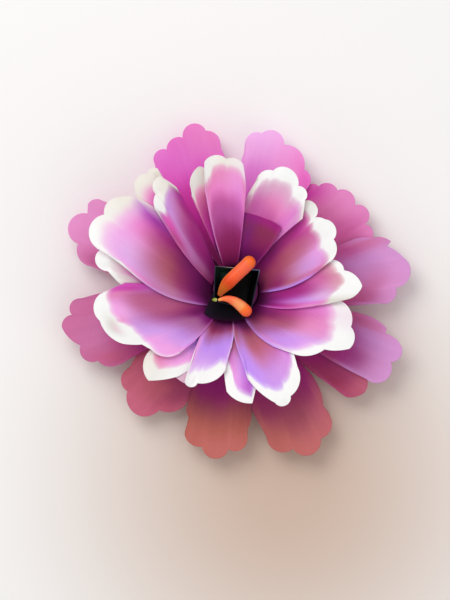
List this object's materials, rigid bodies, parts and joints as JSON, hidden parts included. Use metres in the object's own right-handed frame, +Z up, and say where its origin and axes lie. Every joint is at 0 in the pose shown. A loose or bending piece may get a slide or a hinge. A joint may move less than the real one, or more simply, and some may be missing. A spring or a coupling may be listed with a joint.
{
  "type": "cut paper flower",
  "caption": "Layered cut-paper flower on its back: flat outer petals, a cup of shaded inner petals with white scalloped rims, dark folded centre and orange stamens.",
  "frame": {"origin": "on the surface it lies on, under the middle of the base disc", "axes": "+Z up out of the flower's face, +Y towards the picture's top, +X towards the picture's right"},
  "size_m": [0.14, 0.1342, 0.0332],
  "materials": {
    "base_card": "matte",
    "core_paper": "matte",
    "petal_orchid": "matte",
    "petal_rose": "matte",
    "petal_terracotta": "matte",
    "petal_shaded": "matte",
    "centre_dark": "satin",
    "stamen_orange": "satin",
    "bud_green": "matte"
  },
  "bodies": {
    "root": {"base_disc": "base_card", "core_plug": "core_paper", "outer_petal_top_left": "petal_orchid", "outer_petal_top": "petal_orchid", "outer_petal_top_right": "petal_orchid", "outer_petal_right": "petal_orchid", "outer_petal_lower_right": "petal_orchid", "outer_petal_lower_right_back": "petal_rose", "outer_petal_bottom_right": "petal_rose", "outer_petal_bottom": "petal_terracotta", "outer_petal_bottom_left": "petal_rose", "outer_petal_left": "petal_orchid", "outer_petal_upper_left": "petal_orchid", "inner_petal_north": "petal_shaded", "inner_petal_north_fold": "petal_shaded", "inner_petal_north_east": "petal_shaded", "inner_petal_east_upper": "petal_shaded", "inner_petal_east": "petal_shaded", "inner_petal_south_east": "petal_shaded", "inner_petal_south_right": "petal_shaded", "inner_petal_south_left": "petal_shaded", "inner_petal_south": "petal_shaded", "inner_petal_south_west": "petal_shaded", "inner_petal_south_west_back": "petal_shaded", "inner_petal_west": "petal_shaded", "inner_petal_west_back": "petal_shaded", "inner_petal_north_west": "petal_shaded", "inner_petal_north_west_back": "petal_shaded", "inner_petal_north_upper_left": "petal_shaded", "inner_petal_north_left": "petal_shaded", "centre_leaf": "centre_dark", "centre_tray": "centre_dark", "stamen_long": "stamen_orange", "stamen_short": "stamen_orange", "stamen_bud": "bud_green"}
  },
  "joints": []
}
